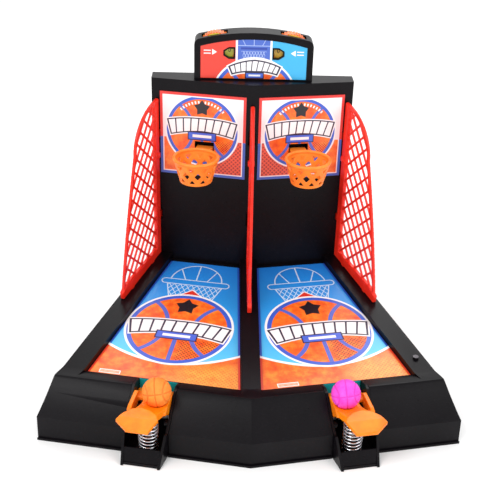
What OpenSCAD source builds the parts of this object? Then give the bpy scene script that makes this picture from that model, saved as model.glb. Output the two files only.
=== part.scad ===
// Two-player desktop basketball machine: base tray, V-shaped back wall,
// two hoops, three nets, two press-and-release launchers, two balls and
// a header that holds two turning score wheels. Millimetres.
// X is to the right, Y to the rear, Z up. The right-hand lane is drawn in
// its own lane frame and the left-hand one is its mirror image.

/* [Base] */
// Width across the front corners of the base
base_w = 290; // [270:5:310]
// Plan angle between each lane and the centre line, degrees
lane_a = 10.65; // [9.5:0.05:11.5]
// Distance along a lane from the front skirt to the back wall
lane_len = 185; // [180:1:190]
// Height of the upright front skirt
skirt_h = 18.5; // [16:0.5:20]
// Height of the crest behind the front ramp
crest_h = 36; // [34.5:0.5:38]
// Height of the court deck where it meets the back wall
deck_back_h = 48; // [46:0.5:52]
// Slope of the court deck, degrees
deck_slope = 6.8; // [6:0.1:7.5]
// Thickness of the moulded walls
wall_t = 2.2; // [1.8:0.1:2.6]
// Height of the side rails and centre bar above the deck
rail_up = 4.6; // [3.5:0.1:6]
// Width of each side rail
rail_w = 15.4; // [13:0.1:17]

/* [Back wall and header] */
// Height of the back wall
wall_h = 201; // [195:1:210]
// Half width of the header
head_hw = 44.3; // [43.5:0.1:46]
// Height of the header above the wall at its centre
head_h = 36; // [35:0.5:38]
// Depth of the header from front to back
head_d = 16; // [15.5:0.5:18]
// Outer radius of a score wheel
wheel_r = 13.4; // [12.5:0.1:13.4]

/* [Hoops and nets] */
// Height of the hoop rims
hoop_z = 152; // [148:0.5:156]
// Outer radius of a hoop rim
hoop_r = 17.6; // [16.5:0.1:19]
// Distance of a hoop's centre from the wall
hoop_out = 30; // [28:1:33]
// Thickness of a net panel
net_t = 3.2; // [2.8:0.1:3.6]
// Reach of a net panel along its rail
net_reach = 67.5; // [62:0.5:70]

/* [Launchers] */
// Radius of a ball
ball_r = 10; // [9.5:0.1:10.2]
// Radius of a lever's pivot pin
pin_r = 1.5; // [1.3:0.1:1.7]
// Outer radius of a launcher spring
spring_r = 7.2; // [6.6:0.1:7.4]
// Number of spring turns
spring_n = 9.5; // [7:0.5:10]

/* [Hidden] */
$fn = 48;
e = 0.01;
sa = sin(lane_a);
ca = cos(lane_a);
ta = tan(lane_a);
td = tan(deck_slope);
hw = base_w / 2;
ridge_y = lane_len / ca;
// lane-frame positions: u is across the lane, v is forward from the wall
u_front = hw * ca + (hw * ta - ridge_y) * sa;
u_back = u_front - lane_len * ta;
rear_y = ridge_y + 28.2;
court_front = lane_len - 38.6;
card_t = 0.6;
card_gap = 0.02;
spring_u = 35.2;
ball_u = 32;
hoop_u = 36.8;
box_u = 37;
box_w = 31;
box_front = 200;
pivot_v = 152;
pivot_z = 24;
ball_v = 172;
ball_z = 42;
spring_v = 183.6;
seat_z = 5;
top_seat_z = 29.2;
wheel_x = 27.6;
wheel_z = wall_h + 21.7;
head_y = ridge_y + 12.2;
// centres the footprint on the origin, from the pads' front edge to the header screws
shift_y = -(ridge_y + 28.6 * sa - 208.6 * ca + head_y + head_d + 1.2) / 2;
black = [0.03, 0.03, 0.035];
orange = [1, 0.42, 0.06];
red = [0.85, 0.06, 0.03];
blue = [0.1, 0.45, 0.85];
steel = [0.8, 0.8, 0.82];
pink = [1, 0.25, 0.75];
teal = [0.0, 0.5, 0.52];

function deck_z(v) = deck_back_h - (v - 4.5) * td;
// the two halves of the base overlap by a hair on the centre line
function u_in(v) = -v * ta - 0.04;
function u_out(v) = u_back + v * ta;

module whole() {
  translate([0, shift_y, 0]) children();
}
module lane() {
  translate([0, ridge_y, 0]) rotate([0, 0, lane_a]) children();
}
module mirrored() {
  mirror([1, 0, 0]) children();
}
// extrudes a profile of [y, z] points from u0 to u1 in the lane frame
module along_u(u0, u1, pts) {
  translate([u0, 0, 0]) rotate([90, 0, 90]) linear_extrude(u1 - u0) polygon(pts);
}
// upright plate between v0 and v1 over a plan outline of [u, v] points
module plan(z0, z1, pts) {
  translate([0, 0, z0]) linear_extrude(z1 - z0) polygon([for (p = pts) [p[0], -p[1]]]);
}
module rod_u(u0, u1, v, z, r) {
  translate([u0, -v, z]) rotate([0, 90, 0]) cylinder(h = u1 - u0, r = r);
}

// ---- base -----------------------------------------------------------------
ramp_v0 = lane_len - 0.6;
ramp_v1 = lane_len - 24.5;
function ramp_pt(t, off) = [-(ramp_v0 + (ramp_v1 - ramp_v0) * t),
  skirt_h + (crest_h - 0.9 - skirt_h) * t - 4 * 0.75 * t * (1 - t) - off];
function front_profile(off) = [for (i = [0:6]) ramp_pt(i / 6, off)];
function top_profile(up) = concat(
  [[-lane_len - 1.2, 0], [-lane_len - 1.2, 1.6], [-lane_len, 1.6]],
  front_profile(0),
  [[-ramp_v1 + 1.6, crest_h], [-ramp_v1 + 4, crest_h]],
  up > 0 ? [[-court_front - 1, deck_z(court_front) + up - 0.4],
      [-0.3, deck_z(0) + up], [-0.3, 0]]
    : [[-court_front - 0.4, deck_z(court_front) + 2.2],
      [-court_front - 0.4, deck_z(court_front + 0.4) - card_t - card_gap],
      [-0.3, deck_z(0.3) - card_t - card_gap], [-0.3, 0]]);
function inner_profile() = concat(
  [[-lane_len + wall_t, -1], [-lane_len + wall_t + 0.3, skirt_h - 2.4]],
  [for (i = [1:6]) ramp_pt(i / 6, wall_t + 0.4)],
  [[-court_front - 2, deck_z(court_front) - card_t - wall_t + 0.2],
    [-0.3 - wall_t, deck_z(0) - card_t - wall_t], [-0.3 - wall_t, -1]]);

module base_half() {
  difference() {
    union() {
      intersection() {
        along_u(-60, 130, top_profile(0));
        plan(-1, 80, [[u_in(0), 0], [u_in(200), 200], [u_out(200), 200], [u_out(0), 0]]);
      }
      intersection() {
        along_u(-60, 130, top_profile(rail_up));
        union() {
          plan(-1, 80, [[u_out(0) - rail_w, 0], [u_out(160) - rail_w, 160],
            [u_out(160), 160], [u_out(0), 0]]);
          plan(30, 80, [[u_in(0), 0], [u_in(160), 160],
            [u_in(160) + 6.8, 160], [u_in(0) + 6.8, 0]]);
        }
      }
    }
    intersection() {
      along_u(-60, 130, inner_profile());
      plan(-2, 80, [[u_in(-1) - 1, -1], [u_in(200) - 1, 200],
        [u_out(200) - wall_t, 200], [u_out(-1) - wall_t, -1]]);
    }
    // notch that the launcher cradle stands in
    plan(-2, 60, [[box_u - box_w / 2 - 0.3, court_front + 1.4],
      [box_u - box_w / 2 - 0.3, 210], [box_u + box_w / 2 + 0.3, 210],
      [box_u + box_w / 2 + 0.3, court_front + 1.4]]);
    // peg holes for the side net
    for (s = [16, 52])
      net_at_side() translate([s - 2.2, -net_t / 2 - 0.15, 20]) cube([4.4, net_t + 0.3, 60]);
    // screw holes in the rear plate
    for (u = [22, 58])
      translate([u, -14, 18]) rotate([-90, 0, 0]) cylinder(h = 20, r = 1.15);
  }
  // bosses for the wall screws
  for (u = [22, 58])
    difference() {
      translate([u, -13, 18]) rotate([-90, 0, 0]) cylinder(h = 12.2, r = 3.4);
      translate([u, -14, 18]) rotate([-90, 0, 0]) cylinder(h = 20, r = 1.15);
    }
  // columns for the cradle screws
  for (u = [box_u - box_w / 2 - 5, box_u + box_w / 2 + 5])
    difference() {
      intersection() {
        translate([u, -168, 4.3]) cylinder(h = 40, r = 3);
        along_u(-60, 130, [[-lane_len + 1, 0], ramp_pt(0, 1.3), ramp_pt(1, 1.3), [-150, 0]]);
      }
      translate([u, -168, 4]) cylinder(h = 12, r = 1.15);
    }
}
module base_shell() color(black) whole() difference() {
  union() {
    lane() base_half();
    mirrored() lane() base_half();
  }
  // peg holes for the centre net
  for (s = [16, 52])
    translate([-net_t / 2 - 0.15, ridge_y - s - 2.2, 36]) cube([net_t + 0.3, 4.4, 30]);
  // clearance hole under the rail stud
  lane() translate([u_out(133) - 6.5, -133, 20]) cylinder(h = 40, r = 1.3);
}
module stud() translate([u_out(133) - 6.5, -133, deck_z(133) + rail_up]) {
  translate([0, 0, 0.35]) cylinder(h = 1.1, r = 2.1);
  translate([0, 0, -9]) cylinder(h = 9.6, r = 1.2);
}
module rail_stud() color(steel) whole() lane() stud();

// ---- back wall ------------------------------------------------------------
module wall_half_solid(z0, z1, inset) {
  translate([0, 0, z0]) linear_extrude(z1 - z0) polygon([
    [0, ridge_y + inset * 1.02], [0, rear_y + (inset > 0 ? 1 : 0)],
    [u_back * ca - 0.1 - inset, rear_y + (inset > 0 ? 1 : 0)],
    [u_back * ca - 0.1 - inset, ridge_y + inset * 1.02 + (u_back * ca - 0.1 - inset) * ta]]);
}
module wall_cuts() {
  hoop_slot();
  for (z = hook_z)
    translate([u_back - 4.45, 0, z]) hook_void(4.9);
  // wall screw holes
  for (u = [22, 58])
    translate([u, -3, 18]) rotate([-90, 0, 0]) cylinder(h = 8, r = 1.6);
}
// slot and closed pocket that a net's hook hangs in
hook_z = [hoop_z + 1, 84];
module hook_void(w) {
  translate([-w / 2, -3, 0]) cube([w, 8, 12]);
  translate([-w / 2, 2.3, -3]) cube([w, 2.7, 4]);
}
module hook_box(w) translate([-w / 2 - 1.2, 1.2, -4.2]) cube([w + 2.4, 5, 17.4]);
module hoop_slot() translate([hoop_u - 7.6, -3, arm_z - 0.3]) cube([15.2, 5.6, 7.8]);
module wall_half() {
  // closed pocket behind the hoop slot
  lane() difference() {
    translate([hoop_u - 9.4, 1.2, arm_z - 4]) cube([18.8, 5.4, 13]);
    translate([hoop_u - 8.2, 0, arm_z - 2.8]) cube([16.4, 5.4, 10.6]);
  }
  difference() {
    union() {
      difference() {
        wall_half_solid(0, wall_h, 0);
        difference() {
          wall_half_solid(-1, wall_h - wall_t, wall_t);
          // stiffening ribs inside the hollow
          for (x = [24, 50])
            translate([x, ridge_y, 0]) cube([1.6, 24, wall_h]);
          translate([0, ridge_y, 96]) cube([100, 20, 1.6]);
        }
      }
      lane() for (z = hook_z)
        translate([u_back - 4.45, 0, z]) hook_box(4.9);
    }
    lane() wall_cuts();
    // slots for the header tabs
    translate([18, head_y + 4.8, wall_h - 6]) cube([8.6, 2.6, 8]);
  }
}
module back_wall() color(black) whole() difference() {
  union() {
    wall_half();
    mirrored() wall_half();
    for (z = hook_z)
      translate([0, ridge_y, z]) hook_box(5.8);
  }
  for (z = hook_z)
    translate([0, ridge_y, z]) hook_void(5.8);
}

// ---- printed cards --------------------------------------------------------
module court_card() {
  intersection() {
    along_u(-60, 130, [[-court_front, deck_z(court_front) - card_t],
      [-4.5, deck_z(4.5) - card_t], [-4.5, deck_z(4.5)], [-court_front, deck_z(court_front)]]);
    plan(0, 80, [[u_in(0) + 7.34, 0], [u_in(150) + 7.34, 150],
      [u_out(150) - rail_w - 0.4, 150], [u_out(0) - rail_w - 0.4, 0]]);
  }
}
module right_court_card() color(blue) whole() lane() court_card();
module left_court_card() color(blue) whole() mirrored() lane() court_card();

module board_card() difference() {
  translate([4.8, -card_t - card_gap, 124.8]) cube([66.5, card_t, 66.5]);
  hoop_slot();
}
module right_board_card() color(red) whole() lane() board_card();
module left_board_card() color(red) whole() mirrored() lane() board_card();

// ---- hoops ----------------------------------------------------------------
hoop_low = hoop_z - 18.4;
arm_z = hoop_z - 6.2;
low_r = 12.4;
module basket() {
  difference() {
    rotate_extrude($fn = 64) union() {
      translate([hoop_r - 1.3, hoop_z]) circle(r = 1.3, $fn = 24);
      translate([low_r - 0.8, hoop_low + 0.8]) circle(r = 0.8, $fn = 20);
      polygon([[low_r - 1.5, hoop_low + 0.8], [low_r - 0.1, hoop_low + 0.8],
        [hoop_r - 0.5, hoop_z], [hoop_r - 2.0, hoop_z]]);
    }
    // a row of triangles under the rim, one of diamonds, and one of triangles at the foot
    for (k = [0:9]) {
      rotate([0, 0, 36 * k]) translate([0, 0, hoop_low + 13.6]) tri(5.2, -3.8);
      rotate([0, 0, 36 * k + 18]) translate([0, 0, hoop_low + 8.7]) window(5.2, 6.4);
      rotate([0, 0, 36 * k]) translate([0, 0, hoop_low + 3.9]) tri(4.6, 3.4);
    }
  }
}
module window(w, h) rotate([90, 0, 0]) translate([0, 0, 6]) linear_extrude(16)
  polygon([[0, -h / 2], [w / 2, 0], [0, h / 2], [-w / 2, 0]]);
module tri(w, h) rotate([90, 0, 0]) translate([0, 0, 6]) linear_extrude(16)
  polygon([[0, h / 2], [w / 2, -h / 2], [-w / 2, -h / 2]]);
module hoop() {
  translate([hoop_u, -hoop_out, 0]) basket();
  difference() {
    translate([hoop_u - 6.5, -hoop_out + 11.5, arm_z]) cube([13, hoop_out - 11.5 + 1.9, 2.8]);
    translate([hoop_u, -hoop_out, arm_z - 2]) cylinder(h = 8, r = hoop_r - 2.7);
  }
  // lip that hooks behind the wall
  translate([hoop_u - 6.5, 2.6, arm_z - 2.2]) cube([13, 1.5, 5]);
  translate([hoop_u - 6.5, 1.2, arm_z]) cube([13, 2, 2.8]);
  // shield plate against the card
  translate([hoop_u - 8.6, -2.4, arm_z - 7.6]) cube([17.2, 1.5, 7]);
  translate([hoop_u - 8.6, -4.6, arm_z - 1.2]) cube([17.2, 3.7, 1.8]);
}
module right_hoop() color(orange) whole() lane() hoop();
module left_hoop() color(orange) whole() mirrored() lane() hoop();

// ---- nets -----------------------------------------------------------------
net_top = 185.4;
edge_t = 2;
rib_t = 1.5;
net_mid = 152;
function rail_top(s) = deck_z(s) + rail_up;
function edge_pts(i) = concat(
  [for (k = [0:12]) let (a = 90 - 90 * k / 12)
    [-2 + (43 - i) * cos(a), net_mid + (net_top - net_mid - i) * sin(a)]],
  [for (k = [1:8]) let (t = k / 8)
    [41 - i + (net_reach - 41) * t + 6 * t * (1 - t), net_mid - (net_mid - 52) * t]]);
function net_inner() = concat([[7.4, net_top - 6]], [for (p = edge_pts(2.7)) if (p[0] > 7.4) p],
  [[net_reach - 5.2, 55.2], [7.4, 59.5]]);
// flat net panel: s forward from the wall along x, height along z
module net_slab(t) translate([0, t / 2, 0]) rotate([90, 0, 0]) linear_extrude(t) children();
module net_panel() {
  // thin rim round the openings
  net_slab(edge_t) difference() {
    polygon(concat([[0.6, net_top]], [for (p = edge_pts(0)) if (p[0] > 0.7) p],
      [[net_reach + 1.6, 50.5], [net_reach + 0.8, rail_top(net_reach) + 0.35],
        [0.6, rail_top(0) + 0.35]]));
    polygon(net_inner());
  }
  // thicker bars beside the wall and above the rail
  net_slab(net_t) polygon([[0.6, net_top - 0.4], [5.4, net_top - 1.4], [7.2, net_top - 10], [7.2, 59.5],
    [net_reach - 6, 55], [net_reach + 1.4, 51.5], [net_reach + 0.8, rail_top(net_reach) + 0.35],
    [0.6, rail_top(0) + 0.35]]);
  net_slab(rib_t) intersection() {
    polygon(net_inner());
    union() {
      for (k = [-2:12])
        translate([7, 47.1 + 12.6 * k]) rotate(41) translate([-30, -0.85]) square([140, 1.7]);
      for (k = [0:17])
        translate([4 + 10.4 * k, 47]) rotate(-48) translate([-260, -0.8]) square([380, 1.6]);
    }
  }
  // hooks that enter the wall
  for (z = hook_z) {
    translate([-4, -1.1, z + 0.4]) cube([5.6, 2.2, 5.6]);
    translate([-4, -1.1, z - 2.6]) cube([1.2, 2.2, 5]);
  }
  // small lug on the wall-side bar
  translate([0.9, -net_t / 2 - 1.0, 137.5]) cube([3.1, net_t + 2.0, 4]);
  // pegs that enter the rail
  for (s = [16, 52])
    translate([s - 2, -net_t / 2, rail_top(s) - 3.6]) cube([4, net_t, 5]);
}
module net_at_side() translate([u_back - 4.4, 0, 0]) rotate([0, 0, -90 + lane_a]) children();
module right_net() color(red) whole() lane() net_at_side() net_panel();
module left_net() color(red) whole() mirrored() lane() net_at_side() net_panel();
module centre_net() color(red) whole() translate([0, ridge_y, 0]) rotate([0, 0, -90]) net_panel();

// ---- header ---------------------------------------------------------------
function arc_z(x, top, drop, w) = top - drop * x * x / (w * w);
function head_outline(i) = concat(
  [[-head_hw + i, wall_h + i], [head_hw - i, wall_h + i]],
  [for (k = [0:4]) let (a = 90 * k / 4)
    [head_hw - 5 + (5 - i) * cos(a),
      arc_z(head_hw - 5, wall_h + head_h, 6, head_hw) - 5 + (5 - i) * sin(a)]],
  [for (k = [1:15]) let (x = (head_hw - 5) * (1 - 2 * k / 16))
    [x, arc_z(x, wall_h + head_h, 6, head_hw) - i]],
  [for (k = [4:-1:0]) let (a = 90 * k / 4)
    [-head_hw + 5 - (5 - i) * cos(a),
      arc_z(head_hw - 5, wall_h + head_h, 6, head_hw) - 5 + (5 - i) * sin(a)]]);
function card_outline(i) = concat(
  [[-39.8 + i, wall_h + 1 + i], [39.8 - i, wall_h + 1 + i]],
  [for (k = [0:14]) let (x = (39.8 - i) * (1 - 2 * k / 14))
    [x, arc_z(x, wall_h + 31.2, 5.6, 39.8) - i]]);
// window shape: the tall side is nearer the centre
function window_pts(g) = [[14.9 - g, wall_h + 17.2 - g], [14.9 - g, wall_h + 24 + g],
  [18.6, wall_h + 24 + g], [21.6 + g, wall_h + 22 + g * 0.5],
  [21.6 + g, wall_h + 19.2 - g * 0.5], [18.6, wall_h + 17.2 - g]];
module front_plate(y0, y1) translate([0, y1, 0]) rotate([90, 0, 0]) linear_extrude(y1 - y0)
  children();
module each_side() {
  children();
  mirrored() children();
}
module header_shell() color(black) whole() {
  difference() {
    front_plate(head_y, head_y + head_d - 2.3) polygon(head_outline(0));
    front_plate(head_y + 2.6, head_y + head_d) polygon(head_outline(2));
    front_plate(head_y - 1, head_y + 1) polygon(card_outline(0));
    each_side() {
      front_plate(head_y - 1, head_y + 4) polygon(window_pts(0));
      // slot for the wheel rim
      translate([wheel_x - 8, head_y + 3.2, wall_h + 24]) cube([19.4, 8.9, 20]);
      // axle seat
      translate([wheel_x, head_y + 1.6, wheel_z]) rotate([-90, 0, 0]) cylinder(h = 3, r = 1.52);
    }
  }
  each_side() {
    // raised window frame through the card
    difference() {
      front_plate(head_y - 0.1, head_y + 2) polygon(window_pts(0.9));
      front_plate(head_y - 1, head_y + 4) polygon(window_pts(0));
    }
    // tab into the wall
    translate([18.3, head_y + 5.1, wall_h - 4]) cube([8, 2, 5]);
    // screw boss
    difference() {
      translate([8, head_y + 2, wall_h + 7]) rotate([-90, 0, 0]) cylinder(h = 11.6, r = 3);
      translate([8, head_y + 4, wall_h + 7]) rotate([-90, 0, 0]) cylinder(h = 12, r = 1.1);
    }
  }
}
module header_cover() color(black) whole() difference() {
  union() {
    front_plate(head_y + head_d - 2.2, head_y + head_d) polygon(head_outline(0));
    each_side() translate([wheel_x, head_y + 12.4, wheel_z]) rotate([-90, 0, 0])
      cylinder(h = head_d - 13, r = 3.4);
  }
  each_side() {
    translate([wheel_x, head_y + 11, wheel_z]) rotate([-90, 0, 0])
      cylinder(h = head_d - 12.2, r = 1.52);
    translate([8, head_y + 10, wall_h + 7]) rotate([-90, 0, 0]) cylinder(h = 10, r = 1.35);
  }
}
module header_card() color(red) whole() difference() {
  front_plate(head_y + 0.4, head_y + 1) polygon(card_outline(0.2));
  each_side() front_plate(head_y - 1, head_y + 3) polygon(window_pts(1.1));
}
module score_wheel() translate([wheel_x, head_y + 3.6, wheel_z]) rotate([-90, 0, 0]) difference() {
  union() {
    cylinder(h = 8.1, r = wheel_r - 0.6, $fn = 72);
    for (k = [0:35])
      rotate([0, 0, 10 * k]) translate([wheel_r - 1.4, -0.6, 0]) cube([1.4, 1.2, 8.1]);
  }
  translate([0, 0, 1.4]) difference() {
    cylinder(h = 8, r = wheel_r - 2.2, $fn = 64);
    translate([0, 0, -1]) cylinder(h = 10, r = 3.2);
  }
  translate([0, 0, -1]) cylinder(h = 12, r = 1.55);
}
module right_score_wheel() color(orange) whole() score_wheel();
module left_score_wheel() color(orange) whole() mirrored() score_wheel();
module axle() translate([wheel_x, head_y + 1.7, wheel_z]) rotate([-90, 0, 0])
  cylinder(h = head_d - 3.2, r = 1.5);
module wheel_axles() color(steel) whole() each_side() axle();
module head_screw() translate([8, head_y + head_d, wall_h + 7]) rotate([90, 0, 0]) {
  translate([0, 0, -1.2]) cylinder(h = 1.2, r = 2.4);
  cylinder(h = 9, r = 1.0);
}
module header_screws() color(steel) whole() each_side() head_screw();

// ---- launchers ------------------------------------------------------------
bl = box_u - box_w / 2;
bt = 1.8;
toe = 2.3;
// side wall, which leans towards the middle in front of the skirt
module cradle_side() intersection() {
  along_u(bl - 1, bl + 8, concat([[-box_front, 0], [-lane_len - 2.2, skirt_h + 0.5]],
    [for (i = [0:6]) ramp_pt(i / 6, -0.5)],
    [[-court_front - 9, crest_h + 0.2], [-court_front - 2, crest_h - 2.4],
      [-court_front - 2, 16], [-court_front - 24, 8], [-court_front - 24, 0]]));
  plan(-1, 60, [[bl, 140], [bl, lane_len], [bl + toe, box_front + 1],
    [bl + toe + bt, box_front + 1], [bl + bt, lane_len], [bl + bt, 140]]);
}
module cradle() {
  difference() {
    union() {
      for (s = [-1, 1])
        translate([box_u, 0, 0]) scale([s, 1, 1]) translate([-box_u, 0, 0]) cradle_side();
      // sloping front wall, set back from the edges of the side walls
      along_u(bl + toe + 1, bl + box_w - toe - 1, [[-box_front + 1.2, 0],
        [-box_front + 6.9, 10.2], [-box_front + 8.2, 9.8], [-box_front + 3, 0]]);
      // floor and spring seat
      plan(0, 2, [[bl + 0.5, 148.6], [bl + 0.5, lane_len], [bl + toe + 0.5, box_front - 1.4],
        [bl + box_w - toe - 0.5, box_front - 1.4], [bl + box_w - 0.5, lane_len],
        [bl + box_w - 0.5, 148.6]]);
      translate([spring_u, -spring_v, 1]) cylinder(h = seat_z - 1, r = spring_r + 1.2);
      translate([spring_u, -spring_v, 1]) cylinder(h = seat_z + 2.4, r = spring_r - 1.9);
      // screw ears
      for (s = [-1, 1])
        translate([box_u + s * (box_w / 2 + 4.3) - 4.7, -172.6, 2]) cube([9.4, 9.2, 2]);
      // press stops
      rod_u(bl + 0.5, bl + bt + 2.4, 176.5, 20.6, 2.2);
      rod_u(bl + box_w - bt - 2.4, bl + box_w - 0.5, 176.5, 20.6, 2.2);
    }
    rod_u(bl - 2, bl + box_w + 2, pivot_v, pivot_z, pin_r + 0.01);
    for (s = [-1, 1])
      translate([box_u + s * (box_w / 2 + 5), -168, 0]) cylinder(h = 8, r = 1.35);
  }
}
module right_cradle() color(black) whole() lane() cradle();
module left_cradle() color(black) whole() mirrored() lane() cradle();

lv0 = bl + bt + 0.4;
lv1 = bl + box_w - bt - 0.4;
module cheek(u0, u1) along_u(u0, u1, [[-157, 25.6], [-172.6, 24], [-173.4, 28.6],
  [-181.4, 30.2], [-181.4, 32.4], [-178, 33.4], [-162, 33.8], [-156.5, 29.6]]);
module lever() {
  difference() {
    union() {
      rod_u(lv0, lv1, pivot_v, pivot_z, 3.7);
      cheek(lv0, lv0 + 3.2);
      cheek(lv1 - 2.8, lv1);
      // web from the barrel to the cup
      along_u(lv0 + 1, lv1 - 1, [[-pivot_v - 2.4, pivot_z - 2.6], [-160, 26.4], [-165, 28],
        [-165, 30.8], [-159, 30.2], [-pivot_v + 2.4, pivot_z + 2.6]]);
      // cup and neck
      intersection() {
        translate([ball_u, -ball_v, top_seat_z + 0.1]) cylinder(h = 5.1, r = 9.4);
        translate([lv0, -200, 20]) cube([40, 60, 30]);
      }
      intersection() {
        along_u(20, 60, [[-163, 29.3], [-176, 29.4], [-186, 30.8], [-197, 35.4], [-197, 38],
          [-186, 36.2], [-177, 34], [-163, 32.6]]);
        plan(20, 50, [[lv0 + 1, 163], [41, 163], [42, 176], [45, 188], [47, 197], [29.5, 197],
          [26.6, 187], [lv0 + 1, 180]]);
      }
      thumb_pad();
      // spring seat and peg
      translate([spring_u, -spring_v, top_seat_z]) cylinder(h = 3, r = spring_r + 0.5);
      translate([spring_u, -spring_v, top_seat_z - 3]) cylinder(h = 4, r = spring_r - 1.9);
    }
    rod_u(lv0 - 2, lv1 + 2, pivot_v, pivot_z, pin_r + 0.05);
    translate([ball_u, -ball_v, ball_z]) sphere(r = ball_r + 0.25, $fn = 64);
  }
}
// pad: level behind, falling away in front, with a straight front edge and a tip at the side
module thumb_pad() intersection() {
  along_u(15, 60, [[-185, 36.6], [-197.6, 37], [-211, 35], [-211, 37.2], [-197.6, 39.4], [-185, 39]]);
  plan(30, 45, [[43, 208.6], [28.6, 208.6], [24.6, 197.4], [27.4, 191.8], [32.6, 188],
    [38.4, 186.6], [44.4, 188.4], [48.8, 193.6], [51.8, 201]]);
}
module right_lever() color(orange) whole() lane() lever();
module left_lever() color(orange) whole() mirrored() lane() lever();
module pivot_pin() rod_u(bl - 1, bl + box_w + 1, pivot_v, pivot_z, pin_r);
module right_pivot_pin() color(steel) whole() lane() pivot_pin();
module left_pivot_pin() color(steel) whole() mirrored() lane() pivot_pin();

wire = 0.5;
spring_h = top_seat_z - seat_z;
arc_w = 360 * (2 * wire) * spring_n / spring_h / 2;
module coil() translate([spring_u, -spring_v, seat_z + 0.1])
  linear_extrude(height = spring_h - 0.2, twist = -360 * spring_n, slices = round(spring_n * 14), $fn = 8)
    polygon(concat(
      [for (k = [-2:2]) let (a = arc_w * k / 2, t = wire * sqrt(1 - pow(k / 2.2, 2)))
        (spring_r - wire + t) * [cos(a), sin(a)]],
      [for (k = [2:-1:-2]) let (a = arc_w * k / 2, t = wire * sqrt(1 - pow(k / 2.2, 2)))
        (spring_r - wire - t) * [cos(a), sin(a)]]));
module right_spring() color(steel) whole() lane() coil();
module left_spring() color(steel) whole() mirrored() lane() coil();

module ball() translate([ball_u, -ball_v, ball_z]) sphere(r = ball_r, $fn = 64);
module right_ball() color(pink) whole() lane() ball();
module left_ball() color(orange) whole() mirrored() lane() ball();

// strip on the rear face of the launcher opening, behind the ball
module back_strip() translate([bl + bt + 0.3, -court_front - 1.95, 25.5])
  cube([box_w - 2 * bt - 0.6, 0.5, 8]);
module right_back_strip() color(teal) whole() lane() back_strip();
module left_back_strip() color(teal) whole() mirrored() lane() back_strip();

// ---- hidden screws --------------------------------------------------------
module cradle_screw(s) translate([box_u + s * (box_w / 2 + 5), -168, 2]) {
  translate([0, 0, -1.3]) cylinder(h = 1.3, r = 2.4);
  cylinder(h = 12, r = 1.1);
}
module cradle_screws() color(steel) whole() each_side() lane() {
  cradle_screw(-1);
  cradle_screw(1);
}
module wall_screw(u) translate([u, wall_t + 0.05, 18]) rotate([90, 0, 0]) {
  translate([0, 0, -1.4]) cylinder(h = 1.4, r = 2.8);
  cylinder(h = 12, r = 1.1);
}
module wall_screws() color(steel) whole() each_side() lane() {
  wall_screw(22);
  wall_screw(58);
}

base_shell();
back_wall();
left_court_card();
right_court_card();
left_board_card();
right_board_card();
left_hoop();
right_hoop();
left_net();
right_net();
centre_net();
header_shell();
header_cover();
header_card();
left_score_wheel();
right_score_wheel();
wheel_axles();
left_cradle();
right_cradle();
left_lever();
right_lever();
left_pivot_pin();
right_pivot_pin();
left_spring();
right_spring();
left_ball();
right_ball();
left_back_strip();
right_back_strip();
cradle_screws();
wall_screws();
header_screws();
rail_stud();
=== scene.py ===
"""Looks of the two-player desktop basketball game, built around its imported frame."""

from math import cos, pi, radians, sin, tan

import bmesh
import bpy
from mathutils import Matrix, Vector


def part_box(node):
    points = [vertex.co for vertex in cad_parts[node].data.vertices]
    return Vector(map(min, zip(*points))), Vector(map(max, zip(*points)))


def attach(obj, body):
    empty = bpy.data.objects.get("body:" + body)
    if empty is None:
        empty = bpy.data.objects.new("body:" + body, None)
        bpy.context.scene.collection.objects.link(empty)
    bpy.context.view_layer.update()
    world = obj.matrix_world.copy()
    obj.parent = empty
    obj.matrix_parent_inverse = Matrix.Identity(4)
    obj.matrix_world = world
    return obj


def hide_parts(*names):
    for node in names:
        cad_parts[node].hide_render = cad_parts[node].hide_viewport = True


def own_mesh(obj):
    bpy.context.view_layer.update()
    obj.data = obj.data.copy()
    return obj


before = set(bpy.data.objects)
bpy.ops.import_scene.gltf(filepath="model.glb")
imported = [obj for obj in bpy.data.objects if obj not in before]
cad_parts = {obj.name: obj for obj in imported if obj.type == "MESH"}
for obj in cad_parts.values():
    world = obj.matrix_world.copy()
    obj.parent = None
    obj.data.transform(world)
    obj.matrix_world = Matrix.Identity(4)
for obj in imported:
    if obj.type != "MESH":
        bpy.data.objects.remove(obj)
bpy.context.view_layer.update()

MM = 0.001
SIDES = {"right": 1, "left": -1}

# ---- places in millimetres, taken from the frame where a node's box gives them -----------
LANE = radians(10.65)  # plan angle between each lane and the centre line
SA, CA, TA = sin(LANE), cos(LANE), tan(LANE)


def low(node):
    """Lowest corner of a CAD node's box, in millimetres."""
    return Vector(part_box(node)[0]) / MM


def high(node):
    """Highest corner of a CAD node's box, in millimetres."""
    return Vector(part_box(node)[1]) / MM


def middle(node):
    """Middle of a CAD node's box, in millimetres."""
    return (low(node) + high(node)) / 2


HEADER_Y = low("header_shell").y + 0.1  # front face of the header
RIDGE_Y = HEADER_Y - 12.2  # front edge of the V-shaped wall
WALL_TOP = high("back_wall").z
RAIL_BACK_U = 77.96  # outer edge of the base at the wall, across a lane
SPRING_U, SPRING_V = 35.2, 183.6  # a launcher spring's axis in its lane
COIL_R, COIL_TURNS, WIRE_R = 6.65, 9.5, 0.5  # its wire's path and the wire's own radius
SPRING_LOW, SPRING_HIGH = low("right_spring").z, high("right_spring").z
BALL_R = (high("right_ball").z - low("right_ball").z) / 2
WHEEL = middle("right_score_wheel")
WHEEL_R = (high("right_score_wheel").z - low("right_score_wheel").z) / 2
WHEEL_FRONT = low("right_score_wheel").y
WHEEL_RIM = 0.8  # width of the orange rim round a wheel's coloured face
DIGIT_INSET, DIGIT_TALL = 4.0, 4.2  # from a wheel's edge to a digit's middle, and its height
DIGIT_RAISE = 0.03  # a digit's middle layer is this far in front of the wheel's face
COURT_U, COURT_V = 37.0, 87.0  # centre of the print on a court
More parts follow.
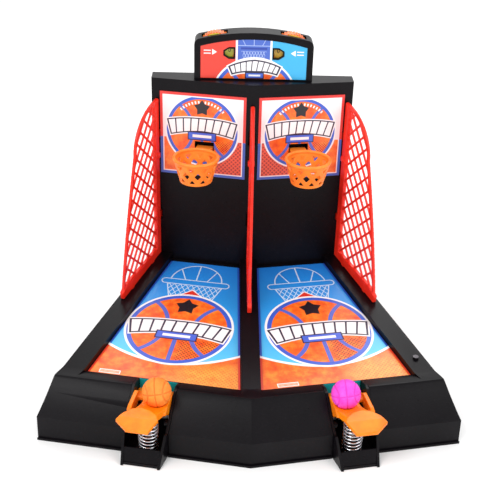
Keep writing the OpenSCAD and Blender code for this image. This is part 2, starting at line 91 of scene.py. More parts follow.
BOARD_U, BOARD_Z, BOARD_HALF = 38.05, 158.05, 33.25  # centre and half side of a board card
WELD = 0.002 * MM  # vertices nearer than this, in metres, are one


def lane_matrix(side):
    """Takes millimetres in a lane (across, towards the wall, up) to the row frame in metres."""
    turn = Matrix.Translation((0, RIDGE_Y * MM, 0)) @ Matrix.Rotation(LANE, 4, "Z")
    turn = turn @ Matrix.Scale(MM, 4)
    return turn if side > 0 else Matrix.Diagonal((-1, 1, 1, 1)) @ turn


# ---- materials ---------------------------------------------------------------------------
def linear(r, g, b):
    """Scene-linear colour from 0 to 255 display values."""
    def one(c):
        c /= 255
        return c / 12.92 if c <= 0.04045 else ((c + 0.055) / 1.055) ** 2.4
    return (one(r), one(g), one(b), 1)


class Num:
    """A value in a node tree that takes part in arithmetic; each step adds one Math node."""

    def __init__(self, tree, socket):
        self.tree, self.socket = tree, socket

    def op(self, name, *args, clamp=False):
        """One Math node, with values or numbers as its inputs."""
        node = self.tree.nodes.new("ShaderNodeMath")
        node.operation, node.use_clamp = name, clamp
        for i, a in enumerate(args):
            if isinstance(a, Num):
                self.tree.links.new(a.socket, node.inputs[i])
            else:
                node.inputs[i].default_value = a
        return Num(self.tree, node.outputs[0])

    def __add__(self, o):
        return self.op("ADD", self, o)

    def __sub__(self, o):
        return self.op("SUBTRACT", self, o)

    def __rsub__(self, o):
        return self.op("SUBTRACT", o, self)

    def __mul__(self, o):
        return self.op("MULTIPLY", self, o)

    def __truediv__(self, o):
        return self.op("DIVIDE", self, o)

    def __neg__(self):
        return self.op("MULTIPLY", self, -1.0)

    def __abs__(self):
        return self.op("ABSOLUTE", self)

    def min(self, o):
        return self.op("MINIMUM", self, o)

    def max(self, o):
        return self.op("MAXIMUM", self, o)

    def fold(self, width):
        """Runs from 0 up to a width and back again, without end."""
        return self.op("PINGPONG", self, width)

    def lines(self, pitch):
        """Distance to the nearest of parallel lines half a pitch apart."""
        return self.fold(pitch / 2) - pitch / 4


def length(a, b):
    """Distance of the point (a, b) from the origin."""
    node = a.tree.nodes.new("ShaderNodeCombineXYZ")
    for i, value in enumerate((a, b)):
        a.tree.links.new(value.socket, node.inputs[i])
    size = a.tree.nodes.new("ShaderNodeVectorMath")
    size.operation = "LENGTH"
    a.tree.links.new(node.outputs[0], size.inputs[0])
    return Num(a.tree, size.outputs["Value"])


def inside(distance, soft=0.14):
    """1 where a distance in millimetres is below zero, with an edge of that softness."""
    return distance.op("MULTIPLY_ADD", distance, -1 / soft, 0.5, clamp=True)


def stroke(distance, width):
    """1 within half a line's width of where distance is zero."""
    return inside(abs(distance) - width / 2)


class Paint:
    """A node material that is painted in layers."""

    COAT_ROUGHNESS = 0.12
    LIGHT_DEPTH = 0.004  # metres that light travels inside a plastic

    def __init__(self, name, roughness=0.4, metallic=0.0, coat=0.0, subsurface=0.0,
                 specular=0.5):
        self.material = bpy.data.materials.new(name)
        self.material.use_nodes = True
        self.tree = self.material.node_tree
        self.nodes, self.links = self.tree.nodes, self.tree.links
        self.shader = self.nodes["Principled BSDF"]
        self.shader.inputs["Roughness"].default_value = roughness
        self.shader.inputs["Metallic"].default_value = metallic
        self.shader.inputs["Coat Weight"].default_value = coat
        self.shader.inputs["Coat Roughness"].default_value = self.COAT_ROUGHNESS
        self.shader.inputs["Specular IOR Level"].default_value = specular
        if subsurface:
            self.shader.inputs["Subsurface Weight"].default_value = subsurface
            self.shader.inputs["Subsurface Scale"].default_value = self.LIGHT_DEPTH
        self.place = self.nodes.new("ShaderNodeTexCoord").outputs["Object"]
        self.bump_height = None
        self.colour = None

    def along(self, direction, offset=0.0):
        """Millimetres along a direction of the row frame, plus an offset."""
        node = self.nodes.new("ShaderNodeVectorMath")
        node.operation = "DOT_PRODUCT"
        self.links.new(self.place, node.inputs[0])
        node.inputs[1].default_value = Vector(direction) / MM
        value = Num(self.tree, node.outputs["Value"])
        return value + offset if offset else value

    def noise(self, size, detail=3.0, rough=0.55, kind="noise", stretch=(1, 1, 1)):
        """Noise from 0 to 1 with features of that size in millimetres."""
        vector = self.place
        if stretch != (1, 1, 1):
            node = self.nodes.new("ShaderNodeMapping")
            node.inputs["Scale"].default_value = stretch
            self.links.new(self.place, node.inputs["Vector"])
            vector = node.outputs[0]
        if kind == "cells":
            node = self.nodes.new("ShaderNodeTexVoronoi")
            out = "Distance"
        else:
            node = self.nodes.new("ShaderNodeTexNoise")
            node.inputs["Detail"].default_value = detail
            node.inputs["Roughness"].default_value = rough
            out = "Fac"
        node.inputs["Scale"].default_value = 1 / (size * MM)
        self.links.new(vector, node.inputs["Vector"])
        return Num(self.tree, node.outputs[out])

    def ramp(self, value, stops):
        """A colour from a value, by stops of (place, colour)."""
        node = self.nodes.new("ShaderNodeValToRGB")
        self.links.new(value.socket, node.inputs[0])
        while len(node.color_ramp.elements) < len(stops):
            node.color_ramp.elements.new(0.5)
        for element, (place, colour) in zip(node.color_ramp.elements, stops):
            element.position = place
            element.color = colour
        return node.outputs[0]

    def fill(self, colour):
        """The colour under all the layers."""
        self.colour = colour

    def lay(self, mask, colour):
        """Paints a colour, or another node's colour, over what is there."""
        node = self.nodes.new("ShaderNodeMix")
        node.data_type = "RGBA"
        self.links.new(mask.socket, node.inputs["Factor"])
        for socket, value in ((node.inputs[6], self.colour), (node.inputs[7], colour)):
            if isinstance(value, tuple):
                socket.default_value = value
            else:
                self.links.new(value, socket)
        self.colour = node.outputs[2]

    def rough(self, value, least, most):
        """Roughness that runs from least to most with a value from 0 to 1."""
        spread = value.op("MULTIPLY_ADD", value, most - least, least)
        self.links.new(spread.socket, self.shader.inputs["Roughness"])

    def bump(self, value, depth, strength=1.0):
        """Relief of that depth in millimetres."""
        node = self.nodes.new("ShaderNodeBump")
        node.inputs["Distance"].default_value = depth * MM
        node.inputs["Strength"].default_value = strength
        self.links.new(value.socket, node.inputs["Height"])
        if self.bump_height:
            self.links.new(self.bump_height, node.inputs["Normal"])
        self.bump_height = node.outputs[0]

    def done(self):
        """Joins the layers and the relief to the shader and gives the material."""
        self.links.new(self.colour, self.shader.inputs["Base Color"])
        if self.bump_height:
            self.links.new(self.bump_height, self.shader.inputs["Normal"])
        return self.material


def black_plastic():
    """Glossy black moulding with faint flow marks, a fine spark texture and rubbed patches."""
    p = Paint("black_plastic", specular=0.14)
    flow = p.noise(34, 2.0, stretch=(1, 0.45, 1))
    p.fill(p.ramp(flow, [(0.3, linear(8, 6, 9)), (0.7, linear(14, 11, 15))]))
    scuffs = p.noise(2.2, 5.0, 0.7, stretch=(1, 3, 1))
    p.lay(inside(0.66 - scuffs, 0.2) * 0.3, linear(46, 43, 47))
    p.rough(scuffs, 0.2, 0.42)
    p.bump(p.noise(0.5, 2.0), 0.014)
    p.bump(flow, 0.06)
    return p.done()


def tinted_plastic(name, dark, light, grain=0.45):
    """Satin coloured moulding that lets a little light in."""
    p = Paint(name, subsurface=0.05, coat=0.04, specular=0.32)
    cloud = p.noise(11, 4.0)
    p.fill(p.ramp(cloud, [(0.3, dark), (0.72, light)]))
    fine = p.noise(grain, 3.0)
    p.rough(p.noise(4, 4.0, 0.65), 0.26, 0.46)
    p.bump(fine, 0.014)
    p.bump(cloud, 0.08)
    return p.done()


def metal(name, dark, light, rough_low, rough_high, brushed=(1, 1, 1)):
    """Bare metal with fine lines, which run along one way where it is brushed."""
    p = Paint(name, metallic=1.0)
    lines = p.noise(0.9, 5.0, 0.7, stretch=brushed)
    p.fill(p.ramp(lines, [(0.3, dark), (0.7, light)]))
    p.rough(lines, rough_low, rough_high)
    p.bump(lines, 0.01)
    return p.done()


def rubber(name, centre, dark, light, seam):
    """Soft pebbled rubber, darker in the seams. The place is measured from the ball's centre."""
    p = Paint(name, subsurface=0.08, specular=0.25)
    cloud = p.noise(5, 3.0)
    p.fill(p.ramp(cloud, [(0.3, dark), (0.7, light)]))
    radius = length(length(p.along((1, 0, 0), -centre.x), p.along((0, 1, 0), -centre.y)),
                    p.along((0, 0, 1), -centre.z))
    p.lay(inside(radius - (BALL_R - 0.24), 0.3) * 0.6, seam)
    pebbles = p.noise(0.62, kind="cells")
    p.rough(pebbles, 0.62, 0.42)
    p.bump(pebbles, 0.11, 0.8)
    return p.done()


def foam(name, dark, light):
    """Matt strip with fine open cells."""
    p = Paint(name, roughness=0.85, specular=0.2)
    cells = p.noise(0.5, kind="cells")
    p.fill(p.ramp(cells, [(0.1, dark), (0.7, light)]))
    p.bump(cells, 0.06)
    return p.done()


WHITE = linear(250, 246, 246)
NAVY = linear(33, 22, 58)
RING_BLUE = linear(58, 96, 205)
ORANGE_STOPS = [(0.28, linear(226, 62, 18)), (0.5, linear(246, 108, 30)),
                (0.74, linear(253, 152, 48))]
PALE_STOPS = [(0.3, linear(250, 150, 46)), (0.7, linear(252, 206, 88))]
LABEL_STOPS = [(0.3, linear(240, 150, 120)), (0.7, linear(250, 190, 160))]


def halftone(x, y, pitch, radius):
    """Round dots of one radius on a diagonal grid."""
    diagonal = 0.7071  # sine of 45 degrees
    a, b = (x + y) * diagonal, (x - y) * diagonal
    reach = length(a.fold(pitch / 2), b.fold(pitch / 2))
    return inside(reach - radius, 0.25)


def mottled(p, stops=ORANGE_STOPS, size=7.0):
    """The blotchy orange of the print."""
    return p.ramp(p.noise(size, 5.0, 0.62), stops)


def star(x, y, radius):
    """Distance to a five-pointed star, from the angle and distance of a point."""
    angle = x.op("ARCTAN2", x, y)
    fold = angle.fold(pi / 5)
    slope = 1.376  # cotangent of half the angle of a point, 36 degrees
    reach = length(x, y) * (fold.op("COSINE", fold) + fold.op("SINE", fold) * slope)
    return reach - radius


def emblem(p, x, y, r, banner, plate, figure_y, ticks):
    """A round ball badge with a ring, seams, a star, an arched banner of plain blocks and a
    plate. x and y are millimetres from its centre and r is the ring's outer radius, which the
    other sizes are parts of: banner is (height of its middle, half width, height, radius of its
    arch, growth towards its ends) and plate is (height of its middle, half width, half height)."""
    reach = length(x, y)
    ring_w = 0.085 * r
    p.lay(inside(reach - r - 0.045 * r), WHITE)
    p.lay(inside(reach - r), RING_BLUE)
    ball = inside(reach - (r - ring_w))
    p.lay(ball, mottled(p))
    corner = inside(0.1 * r - x, 4.0) * inside(y + 0.3 * r, 4.0)
    p.lay(ball * corner * halftone(x, y, 0.052 * r, 0.0145 * r), linear(120, 22, 20))
    seam_w = 0.082 * r
    curve = length(abs(x) - 1.125 * r, y) - 0.875 * r
    seams = stroke(curve, seam_w).max(stroke(x, seam_w) * inside(y + 0.2 * r))
    p.lay(ball * seams, linear(84, 104, 200))
    if ticks:
        angle = x.op("ARCTAN2", x, y)
        dash = stroke((angle * r).fold(0.056 * r), 0.05 * r)
        arc = inside(abs(angle) - 0.8, 0.02)
        p.lay(stroke(reach - 0.83 * r, 0.075 * r) * dash * arc, WHITE)
    p.lay(inside(star(x, y - figure_y * r, 0.235 * r)), linear(26, 20, 30))
    # arched banner: nine white blocks on a dark band
    banner_y, banner_half, banner_h, bend, growth = banner
    bent = length(x, y + (bend - banner_y) * r) - bend * r
    along = x.op("ARCTAN2", x, y + (bend - banner_y) * r) * (bend * r)
    tall = abs(along) * growth + banner_h * r / 2
    band = (abs(bent) - tall).max(abs(along) - banner_half * r)
    p.lay(inside(band - 0.03 * r), WHITE)
    p.lay(inside(band), NAVY)
    blocks = 9
    pitch = 2 * banner_half * r / blocks
    slant = along - bent * 0.12 + pitch * blocks / 2
    block = (0.085 * pitch - slant.fold(pitch / 2)).max(abs(bent) - tall + 0.035 * r)
    p.lay(inside(block.max(abs(along) - banner_half * r + 0.04 * r)), WHITE)
    # plate under the banner
    plate_y, plate_half, plate_h = (size * r for size in plate)
    edge = (abs(y - plate_y) - plate_h).max(abs(x) - plate_half)
    p.lay(inside(edge - 0.025 * r), NAVY)
    p.lay(inside(edge), linear(70, 104, 214))
    p.lay(inside((abs(y - plate_y) - 0.4 * plate_h).max(abs(x) - 0.7 * plate_half)), WHITE)


def finish_print(p):
    """Satin card stock: faint fibres under a thin gloss film."""
    fibres = p.noise(0.35, 4.0, 0.7)
    p.rough(fibres, 0.3, 0.42)
    p.bump(fibres, 0.012)
    p.bump(p.noise(16, 2.0), 0.12)
    return p.done()


def court_print(side):
    """Court card: a drawn hoop in the sky, a mottled field, the badge and a blank label."""
    p = Paint("court_print_" + side, coat=0.2)
    s = SIDES[side]
    u = p.along((s * CA, SA, 0), -RIDGE_Y * SA)
    v = p.along((s * SA, -CA, 0), RIDGE_Y * CA)
    x = (u - COURT_U) * s
    y = COURT_V - v
    sky_end = 130.0
    p.fill(p.ramp(v / sky_end, [(0.0, linear(30, 128, 226)), (0.5, linear(44, 158, 236)),
                                (1.0, linear(92, 206, 246))]))
    # line drawing of a hoop, its net and a ball
    line = 0.75
    rim_v, rim_half, rim_r = 30.8, 24.0, 3.1
    ball_v, ball_r, ball_end = 29.0, 20.5, 27.4
    net_v, net_end, net_half, net_taper = 34.0, 50.0, 22.0, 0.3
    rim = length((abs(x) - rim_half).max(0.0), v - rim_v) - rim_r
    ball = length(x, (v - ball_v) * 0.98) - ball_r
    above = inside(v - ball_end)
    art = stroke(ball, line * 1.3) * above
    art = art.max(stroke(x, line * 1.4) * above * inside(ball))
    spoke_half, spoke_v, spoke_lean = 9.0, 27.0, 0.42
    spokes = stroke(abs(x) - spoke_half + (v - spoke_v) * spoke_lean, line * 1.3)
    art = art.max(spokes * above * inside(ball))
    art = art.max(stroke(rim, line * 1.2))
    taper = (v - net_v) * net_taper
    net = inside(abs(x) - (net_half + 0.5) + taper)
    net = net * inside(net_v + 0.4 - v) * inside(v - net_end)
    slope = (v - net_v) * 0.62
    mesh = 9.0
    web = stroke((x + slope).lines(mesh), line).max(stroke((x - slope).lines(mesh), line))
    sides = stroke(abs(x) - net_half + taper, line * 1.2) * inside(net_v + 0.2 - v)
    art = art.max(web * net).max(sides)
    p.lay(art * 0.8, linear(222, 240, 252))
    # red peak between the net and the badge
    peak_v, peak_slope = 40.6, 0.85
    peak = (abs(x) * peak_slope - (v - peak_v)).max(v - net_end)
    p.lay(inside(peak - 1.1), WHITE)
    p.lay(inside(peak), linear(222, 52, 38))
    # lower field under a white sweep
    sweep_v, sweep_bend = 126.2, 0.0062
    sweep = v - (sweep_v - x * x * sweep_bend)
    p.lay(inside(-sweep), mottled(p))
    corner = inside(10.0 - x, 18.0) * inside(124.0 - v, 14.0)
    p.lay(corner * 0.55, mottled(p, PALE_STOPS, 4))
    p.lay(corner * halftone(x, v, 2.1, 0.55) * 0.7, linear(214, 84, 30))
    # edges: blue beside the sky, red beside the lower field
    edge_w, centre_edge, rail_edge = 1.5, 7.2, 15.8
    inner = u * CA + v * SA - centre_edge
    outer = (v * TA + RAIL_BACK_U - rail_edge - u) * CA
    edge = inside(inner.min(outer) - edge_w, 0.5)
    p.lay(edge * inside(sweep), linear(40, 84, 190))
    p.lay(edge * inside(-sweep), linear(236, 62, 34))
    p.lay(stroke(sweep, 2.4), WHITE)
    banner, plate = (0.03, 0.96, 0.37, 4.0, 0.03), (-0.225, 0.38, 0.09)
    emblem(p, x, y, 39.2, banner, plate, figure_y=0.66, ticks=False)
    # blank white label
    label_x, label_v, label_half, label_half_v = -37.0, 141.6, 7.6, 1.9
    label = (abs(x - label_x) - label_half).max(abs(v - label_v) - label_half_v)
    p.lay(inside(label), WHITE)
    p.lay(inside(label + 0.55), mottled(p, LABEL_STOPS, 2))
    return finish_print(p)


def board_print(side):
    """Backboard card: a pale top, a mottled foot, the badge and a coloured border."""
    p = Paint("board_print_" + side, coat=0.2)
    s = SIDES[side]
    x = (p.along((s * CA, SA, 0), -RIDGE_Y * SA) - BOARD_U) * s
    y = p.along((0, 0, 1), -BOARD_Z)
    p.fill(WHITE)
    p.lay(inside(y - 33.0, 60.0), linear(250, 236, 236))
    lower = inside(y + 3.0)
    p.lay(lower, mottled(p))
    patch = lower * inside(x * s + 4.0)
    p.lay(patch, linear(232, 84, 52))
    p.lay(patch * halftone(x, y, 2.3, 0.72), linear(164, 30, 26))
    banner, plate = (0.17, 0.95, 0.41, 4.0, 0.03), (-0.16, 0.38, 0.1)
    emblem(p, x + 0.6, y - 3.9, 27.6, banner, plate, figure_y=0.66, ticks=True)
    depth = BOARD_HALF - abs(x).max(abs(y))
    border = 2.1
    p.lay(inside(depth - border - 0.8, 0.2), WHITE)
    p.lay(inside(depth - border, 0.2), linear(226, 54, 48))
    p.lay(inside(depth - border, 0.2) * lower, linear(66, 100, 196))
    return finish_print(p)


def header_print():
    """Header card: red and blue halves, a drawn hoop between them, arrows and the badge."""
    p = Paint("header_print", coat=0.2)
    x = p.along((1, 0, 0))
    y = p.along((0, 0, 1), -WALL_TOP)
    p.fill(linear(232, 60, 44))
    p.lay(inside(-x), linear(58, 178, 232))
    # the drawn hoop on its panel
    panel_half = 12.0
    middle_panel = inside(abs(x) - panel_half)
    p.lay(middle_panel, linear(70, 104, 196))
    line, board_y, net_y = 0.5, 26.4, 22.6
    rays = stroke(abs(x) - 8.6 + (31.0 - y) * 0.52, line) * inside(board_y - y)
    rays = rays.max(stroke(x, line) * inside(board_y - y)).max(stroke(y - board_y, line))
    mesh, thin = 4.2, 0.45
    net = stroke((x + y * 0.5).lines(mesh), thin).max(stroke((x - y * 0.5).lines(mesh), thin))
    taper = inside(abs(x) - 9.4 + (net_y - y) * 0.3)
    rays = rays.max(net * taper * inside(y - net_y + 0.2))
    p.lay(rays * middle_panel * 0.75, linear(190, 208, 240))
    p.lay(stroke(y - 24.3, 1.6) * inside(abs(x) - 9.8), linear(40, 66, 160))
    p.lay(stroke(abs(x) - (panel_half + 0.8), 1.5), WHITE)
    # an arrow head and two bars on each half
    arrow_y, arrow_tip, arrow_back = 21.2, 27.4, 31.0
    pointer = (abs(y - arrow_y) - (abs(x) - arrow_tip) * 0.62).max(abs(x) - arrow_back)
    p.lay(inside(pointer), WHITE)
    bars = (abs(abs(y - arrow_y) - 1.1) - 0.42).max(abs(abs(x) - 34.6) - 2.6)
    p.lay(inside(bars), linear(250, 232, 232))
    banner, plate = (0.83, 0.6, 0.31, 1.5, -0.07), (0.6, 0.2, 0.055)
    emblem(p, x - 0.8, y + 15.2, 31.6, banner, plate, figure_y=0.2, ticks=False)
    return finish_print(p)


def wheel_face(side, face):
    """Orange wheel with a coloured face inside its rim."""
    p = Paint("wheel_" + side, subsurface=0.1, coat=0.15)
    p.fill(p.ramp(p.noise(8, 3.0), [(0.3, linear(250, 110, 30)), (0.7, linear(255, 140, 52))]))
    reach = length(p.along((1, 0, 0), -WHEEL.x * SIDES[side]), p.along((0, 0, 1), -WHEEL.z))
    printed_depth = 0.4  # the colour reaches this far behind the front face
    front = inside(p.along((0, 1, 0), -WHEEL_FRONT - printed_depth), 0.2)
    p.lay(front * inside(reach - (WHEEL_R - WHEEL_RIM)), p.ramp(p.noise(5, 4.0), face))
    p.rough(p.noise(2, 4.0), 0.3, 0.45)
    p.bump(p.noise(0.4, 2.0), 0.012)
    return p.done()


BLACK = black_plastic()
ORANGE = tinted_plastic("orange_plastic", linear(250, 118, 4), linear(255, 144, 14))
PALE_ORANGE = tinted_plastic("pale_orange_plastic", linear(250, 126, 36), linear(255, 148, 50))
RED = tinted_plastic("red_plastic", linear(226, 34, 18), linear(246, 52, 32))
CHROME = metal("spring_chrome", linear(196, 196, 204), linear(236, 236, 240), 0.08, 0.24)
STEEL = metal("steel", linear(150, 150, 156), linear(196, 196, 202), 0.22, 0.42, (1, 1, 6))
TEAL = foam("teal_strip", linear(0, 122, 130), linear(10, 158, 166))
DARK_STEEL = metal("dark_steel", linear(66, 64, 68), linear(112, 108, 112), 0.25, 0.45)


# ---- mesh tools --------------------------------------------------------------------------
def new_object(name, data):
    """A new object in the scene."""
    o = bpy.data.objects.new(name, data)
    bpy.context.scene.collection.objects.link(o)
    return o


def from_bmesh(name, bm, matrix=None):
    """A smooth-shaded object from a bmesh, moved by a matrix, with its faces turned outwards."""
    if matrix is not None:
        bm.transform(matrix)
    bmesh.ops.recalc_face_normals(bm, faces=bm.faces)
    mesh = bpy.data.meshes.new(name)
    bm.to_mesh(mesh)
    bm.free()
    for face in mesh.polygons:
        face.use_smooth = True
    return new_object(name, mesh)


def final_mesh(o):
    """A new mesh of what an object looks like, modifiers included."""
    bpy.context.view_layer.update()
    shown = o.evaluated_get(bpy.context.evaluated_depsgraph_get())
    return bpy.data.meshes.new_from_object(shown)


def apply_modifiers(o):
    """Replaces an object's mesh with the result of its modifiers."""
    shaped = final_mesh(o)
    o.modifiers.clear()
    o.data = shaped
    for face in shaped.polygons:
        face.use_smooth = True
    return o


def dress(o, material, body, slot, *nodes):
    """Gives a piece its material and the body it rides on, and hides the nodes it replaces. The
    slot argument is not used.
    """
    o.data.materials.clear()
    o.data.materials.append(material)
    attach(o, body)
    if nodes:
        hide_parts(*nodes)


def copy_of(node, name):
    """A new object with a welded copy of a CAD node's mesh."""
    bm = bmesh.new()
    bm.from_mesh(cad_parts[node].data)
    bmesh.ops.remove_doubles(bm, verts=bm.verts, dist=WELD)
    return from_bmesh(name, bm)


def softened(node, name, voxel, passes):
    """A copy of a CAD node with rounded edges and fillets: remeshed, then smoothed. The
    voxel is in millimetres."""
    o = copy_of(node, name)
    remesh = o.modifiers.new("remesh", "REMESH")
    remesh.mode, remesh.voxel_size = "VOXEL", voxel * MM
    smooth = o.modifiers.new("smooth", "SMOOTH")
    smooth.factor, smooth.iterations = 0.5, passes
    return apply_modifiers(o)


def tube(bm, path, radius, sides):
    """Sweeps a circle along a path of points, with flat ends."""
    rings = []
    side = (path[1] - path[0]).normalized().orthogonal().normalized()
    for i, point in enumerate(path):
        along = (path[min(i + 1, len(path) - 1)] - path[max(i - 1, 0)]).normalized()
        side = (side - along * side.dot(along)).normalized()
        up = along.cross(side)
        rings.append([bm.verts.new(point + (side * cos(a) + up * sin(a)) * radius)
                      for a in (2 * pi * k / sides for k in range(sides))])
    for a, b in zip(rings, rings[1:]):
        for k in range(sides):
            bm.faces.new((a[k], a[(k + 1) % sides], b[(k + 1) % sides], b[k]))
    bm.faces.new(rings[0])
    bm.faces.new(rings[-1])


def recolour(node, material):
    """Gives a CAD node a material and leaves its mesh as it is."""
    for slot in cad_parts[node].material_slots:
        slot.link = "OBJECT"
        slot.material = material


def bevelled(node, width, material, segments=3):
    """Rounds a CAD node's edges with modifiers, which leave its own mesh as it is."""
    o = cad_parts[node]
    weld = o.modifiers.new("weld", "WELD")
    weld.merge_threshold = WELD
    bevel = o.modifiers.new("bevel", "BEVEL")
    bevel.width, bevel.segments = width * MM, segments
    bevel.limit_method, bevel.angle_limit = "ANGLE", radians(28)
    normals = o.modifiers.new("normals", "WEIGHTED_NORMAL")
    normals.weight = 90  # large faces count for far more, so that they stay flat to the eye
    recolour(node, material)


# ---- camera, floor and light -------------------------------------------------------------
def camera():
    """Looks down at the front from a little to the left, at the photograph's angle."""
    yaw, pitch, roll = radians(2.29), radians(28.0), radians(1.99)
    place = Vector((-0.0211, -0.5920, 0.4252))
    ahead = Vector((sin(yaw) * cos(pitch), cos(yaw) * cos(pitch), -sin(pitch)))
    right = Vector((cos(yaw), -sin(yaw), 0))
    up = right.cross(ahead)
    right, up = right * cos(roll) + up * sin(roll), up * cos(roll) - right * sin(roll)
    cam = new_object("camera", bpy.data.cameras.new("camera"))
    cam.data.sensor_width, cam.data.lens = 36.0, 68.4072
    cam.data.shift_x, cam.data.shift_y = -0.01184, -0.00384
    turn = Matrix((right, up, -ahead)).transposed().to_4x4()
    cam.matrix_world = Matrix.Translation(place) @ turn
    cam.data.clip_start, cam.data.clip_end = 0.02, 50
    bpy.context.scene.camera = cam


def area_light(name, place, target, size, watts):
    """A white disk that shines from a place to a target."""
    light = bpy.data.lights.new(name, "AREA")
    light.shape, light.size, light.energy = "DISK", size, watts
    o = new_object(name, light)
    o.location = place
    o.rotation_mode = "QUATERNION"
    o.rotation_quaternion = (Vector(target) - Vector(place)).to_track_quat("-Z", "Y")


def studio():
    """Pale paper floor, white surroundings and three soft lights."""
    bm = bmesh.new()
    bmesh.ops.create_circle(bm, cap_ends=True, segments=96, radius=6.0)
    floor = from_bmesh("floor", bm)
    floor.location.z = -0.0002  # just clear of the base's lower rim
    p = Paint("floor_paper", roughness=0.8, specular=0.2)
    cloud = p.noise(260, 3.0)
    p.fill(p.ramp(cloud, [(0.3, linear(244, 244, 244)), (0.7, linear(250, 250, 250))]))
    p.bump(p.noise(1.2, 3.0), 0.02)
    floor.data.materials.append(p.done())
    world = bpy.data.worlds.new("studio")
    world.use_nodes = True
    background = world.node_tree.nodes["Background"]
    background.inputs["Color"].default_value = (1, 1, 1, 1)
    background.inputs["Strength"].default_value = 0.85
    bpy.context.scene.world = world
    area_light("key", (-0.75, -0.85, 1.25), (0, 0, 0.08), 0.7, 11)
    area_light("fill", (0.95, -0.7, 0.9), (0, 0, 0.1), 0.9, 6)
    area_light("back", (0.1, 1.0, 1.1), (0, 0, 0.12), 0.8, 6)
    view = bpy.context.scene.view_settings
    view.view_transform, view.look = "Standard", "None"
    bpy.context.scene.display_settings.display_device = "sRGB"


camera()
studio()


# ---- casings and cards -------------------------------------------------------------------
bevelled("base_shell", 0.7, BLACK)
bevelled("back_wall", 0.6, BLACK)
bevelled("header_shell", 0.35, BLACK, 2)
bevelled("header_cover", 0.6, BLACK)
recolour("header_card", header_print())
for side in SIDES:
    recolour(side + "_court_card", court_print(side))
    recolour(side + "_board_card", board_print(side))
    bevelled(side + "_cradle", 0.25, BLACK, 2)

# ---- hoops and nets ----------------------------------------------------------------------
for side in SIDES:
    hoop = softened(side + "_hoop", side + "_basket", voxel=0.3, passes=2)
    dress(hoop, PALE_ORANGE, "machine", "orange_plastic", side + "_hoop")
for net in ("left_net", "right_net", "centre_net"):
    panel = softened(net, net.replace("net", "mesh_panel"), voxel=0.36, passes=6)
    dress(panel, RED, "machine", "red_plastic", net)


# ---- launchers ---------------------------------------------------------------------------
def coil(side):
    """Compression spring: a round wire with its end turns closed and flat."""
    steps, sides = 36, 12  # points in a turn and round the wire
    closed = 0.75  # part of a turn that lies flat at each end
    bottom, top = SPRING_LOW + WIRE_R, SPRING_HIGH - WIRE_R
    path = []
    for i in range(int(COIL_TURNS * steps) + 1):
        turn = i / (COIL_TURNS * steps) * COIL_TURNS
        lift = min(max((turn - closed) / (COIL_TURNS - 2 * closed), 0.0), 1.0)
        ends = (min(turn, closed) + max(turn - COIL_TURNS + closed, 0)) / closed
        z = bottom + 0.9 * WIRE_R * ends + lift * (top - bottom - 1.8 * WIRE_R)
        a = 2 * pi * turn
        path.append(Vector((SPRING_U + COIL_R * cos(a), -SPRING_V + COIL_R * sin(a), z)))
    bm = bmesh.new()
    tube(bm, path, WIRE_R, sides)
    return from_bmesh(side + "_coil", bm, lane_matrix(SIDES[side]))


def ball(side):
    """Ball with sunk seams: two great circles and two side arcs."""
    seam_half, seam_depth = 0.055, 0.42  # half width as a part of the radius, and depth
    skin = 0.05  # the ball stays this much inside the CAD ball
    centre = middle(side + "_ball")
    bm = bmesh.new()
    bmesh.ops.create_icosphere(bm, subdivisions=7, radius=1.0)
    tilt = Matrix.Rotation(radians(24), 3, "X") @ Matrix.Rotation(radians(8), 3, "Y")
    for vert in bm.verts:
        d = tilt @ vert.co.normalized()
        arc = abs(abs(d.x) - 0.52 - 0.42 * d.z * d.z)
        gap = min(abs(d.x), abs(d.z), arc * 0.8)
        sink = seam_depth * max(0.0, 1 - (gap / seam_half) ** 2)
        vert.co = (centre + vert.co.normalized() * (BALL_R - skin - sink)) * MM
    return from_bmesh(side + "_game_ball", bm)


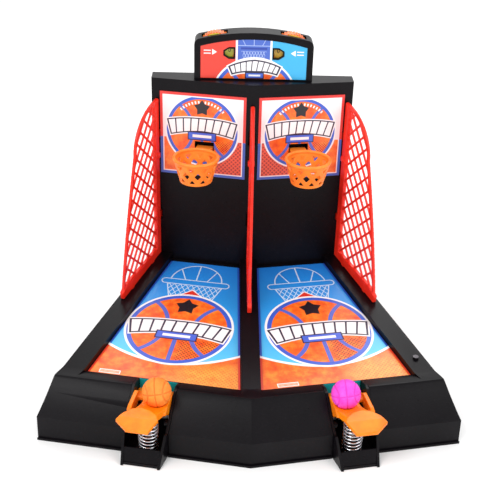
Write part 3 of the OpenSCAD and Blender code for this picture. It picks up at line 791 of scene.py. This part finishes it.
BALL_COLOURS = {
    "left": (linear(252, 130, 46), linear(255, 152, 62), linear(236, 104, 34)),
    "right": (linear(242, 66, 204), linear(252, 92, 218), linear(218, 48, 178)),
}
for side in SIDES:
    lever = softened(side + "_lever", side + "_paddle", voxel=0.3, passes=4)
    dress(lever, ORANGE, side + "_lever_body", "orange_plastic", side + "_lever")
    spring = coil(side)
    dress(spring, CHROME, "machine", "spring_chrome", side + "_spring")
    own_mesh(spring)
    round_ball = ball(side)
    dark, light, seam = BALL_COLOURS[side]
    skin = rubber(side + "_ball_rubber", middle(side + "_ball"), dark, light, seam)
    slot = "orange_ball" if side == "left" else "pink_ball"
    dress(round_ball, skin, side + "_ball_body", slot, side + "_ball")
    recolour(side + "_pivot_pin", STEEL)
    recolour(side + "_back_strip", TEAL)


# ---- score wheels ------------------------------------------------------------------------
FACES = {
    "left": [(0.3, linear(206, 204, 60)), (0.7, linear(226, 216, 90))],
    "right": [(0.3, linear(240, 180, 50)), (0.7, linear(248, 200, 84))],
}


def digits(side):
    """The numbers 0 to 9 round a wheel's face, each upright when it comes to the window."""
    bm = bmesh.new()
    centre_x = WHEEL.x * SIDES[side]
    window_x = -SIDES[side] * (WHEEL_R - DIGIT_INSET)  # from the axle, towards the centre line
    for n in range(10):
        curve = bpy.data.curves.new("digit", "FONT")
        curve.body, curve.size = str(n), 1.0
        curve.extrude = 0.012  # half its thickness, as a part of its height
        curve.align_x = curve.align_y = "CENTER"
        text = new_object("digit", curve)
        mesh = final_mesh(text)
        a = 2 * pi * n / 10
        place = Matrix.Translation((centre_x, WHEEL_FRONT - DIGIT_RAISE, WHEEL.z))
        turn = Matrix.Rotation(a, 4, "Y") @ Matrix.Translation((window_x, 0, 0))
        upright = Matrix.Rotation(pi / 2, 4, "X") @ Matrix.Scale(DIGIT_TALL, 4)
        mesh.transform(Matrix.Scale(MM, 4) @ place @ turn @ upright)
        bm.from_mesh(mesh)
        bpy.data.objects.remove(text)
    bmesh.ops.remove_doubles(bm, verts=bm.verts, dist=1e-7)  # closes each digit's edges
    return from_bmesh(side + "_wheel_digits", bm)


def ink():
    """Dark ink of the digits."""
    p = Paint("digit_ink", roughness=0.5)
    p.fill(p.ramp(p.noise(1.5), [(0.3, linear(40, 24, 20)), (0.7, linear(70, 40, 30))]))
    p.bump(p.noise(0.3), 0.01)
    return p.done()


INK = ink()
for side in SIDES:
    recolour(side + "_score_wheel", wheel_face(side, FACES[side]))
    dress(digits(side), INK, side + "_wheel_body", "printed_card")
recolour("wheel_axles", STEEL)


# ---- screws ------------------------------------------------------------------------------
for node in ("header_screws", "wall_screws", "cradle_screws"):
    bevelled(node, 0.3, STEEL, 2)
bevelled("rail_stud", 0.3, DARK_STEEL, 2)
